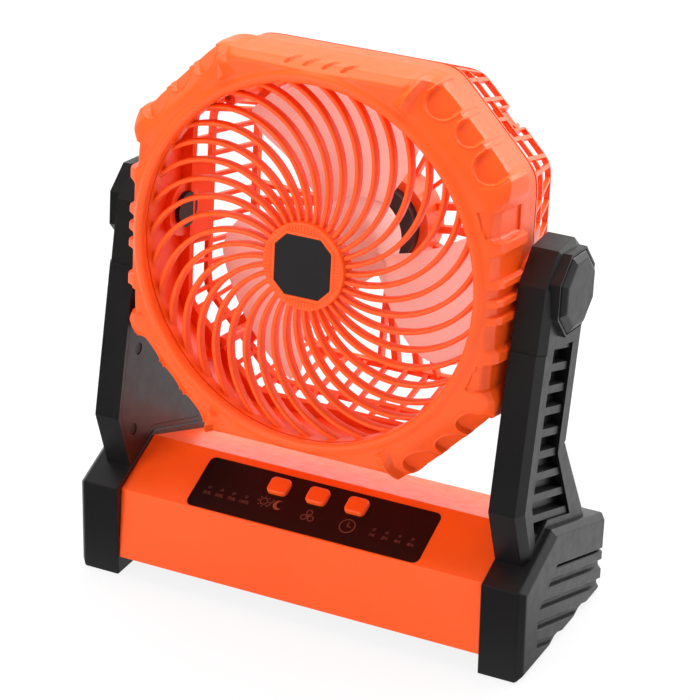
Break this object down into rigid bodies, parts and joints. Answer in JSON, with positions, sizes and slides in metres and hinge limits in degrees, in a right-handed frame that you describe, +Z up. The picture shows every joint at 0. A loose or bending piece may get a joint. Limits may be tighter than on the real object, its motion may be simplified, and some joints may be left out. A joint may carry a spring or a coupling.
{
  "type": "tabletop camping fan",
  "caption": "Rechargeable tabletop camping fan: octagonal head with a spiral front grille tilting in a two-arm yoke on a battery base box with ribbed end feet and push buttons.",
  "frame": {"origin": "on the floor under the middle of the object's box", "axes": "+X to the object's left seen from its back and right seen from its front, +Y to the back, +Z up"},
  "size_m": [0.25, 0.1282, 0.2886],
  "materials": {
    "orange": "semi-gloss moulded",
    "black": "fine matte texture",
    "panel": "smooth dark panel",
    "blade": "milky, slightly see-through",
    "steel": "plain",
    "rubber": "matte",
    "board": "solder mask",
    "cell": "wrapped cell",
    "lens": "frosted"
  },
  "bodies": {
    "stand": {"base_housing": "orange", "base_bottom_cover": "black", "base_screws": "steel", "control_plate": "panel", "circuit_board": "board", "button_switches": "board", "indicator_lights": "lens", "battery_cells": "cell", "battery_tray": "black", "charging_port": "steel", "foot_left": "black", "foot_right": "black", "foot_pads": "rubber", "arm_left": "black", "arm_right": "black", "arm_cover_left": "black", "arm_cover_right": "black", "arm_screws": "steel", "pivot_cap_left": "black", "pivot_cap_right": "black"},
    "head": {"front_bezel": "orange", "front_grille": "orange", "hub_badge": "panel", "rear_cage": "orange", "cage_screws": "steel", "pivot_shaft_left": "steel", "pivot_shaft_right": "steel", "friction_discs": "rubber", "pivot_washers": "steel", "pivot_nuts": "steel", "motor_housing": "steel", "motor_end_cap": "steel", "motor_bearings": "steel", "lamp_board": "board", "lamp_lens": "lens"},
    "fan": {"fan_blades": "blade", "motor_shaft": "steel", "motor_rotor": "steel"},
    "light_key": {"light_button": "orange"},
    "speed_key": {"speed_button": "orange"},
    "timer_key": {"timer_button": "orange"}
  },
  "joints": [
    {"name": "head_tilt", "type": "hinge", "parent": "stand", "child": "head", "pos_m": [0, -0.0021, 0.184], "axis": [-1, 0, 0], "range_deg": [-97.5, 82.5]},
    {"name": "fan_spin", "type": "hinge", "parent": "head", "child": "fan", "pos_m": [0, -0.0021, 0.184], "axis": [0, -0.9914, 0.1305], "continuous": true},
    {"name": "light_press", "type": "slide", "parent": "stand", "child": "light_key", "axis": [0, 0.4041, -0.9147], "range_m": [0, 0.0008], "stiffness_N_per_m": 900},
    {"name": "speed_press", "type": "slide", "parent": "stand", "child": "speed_key", "axis": [0, 0.4041, -0.9147], "range_m": [0, 0.0008], "stiffness_N_per_m": 900},
    {"name": "timer_press", "type": "slide", "parent": "stand", "child": "timer_key", "axis": [0, 0.4041, -0.9147], "range_m": [0, 0.0008], "stiffness_N_per_m": 900}
  ]
}
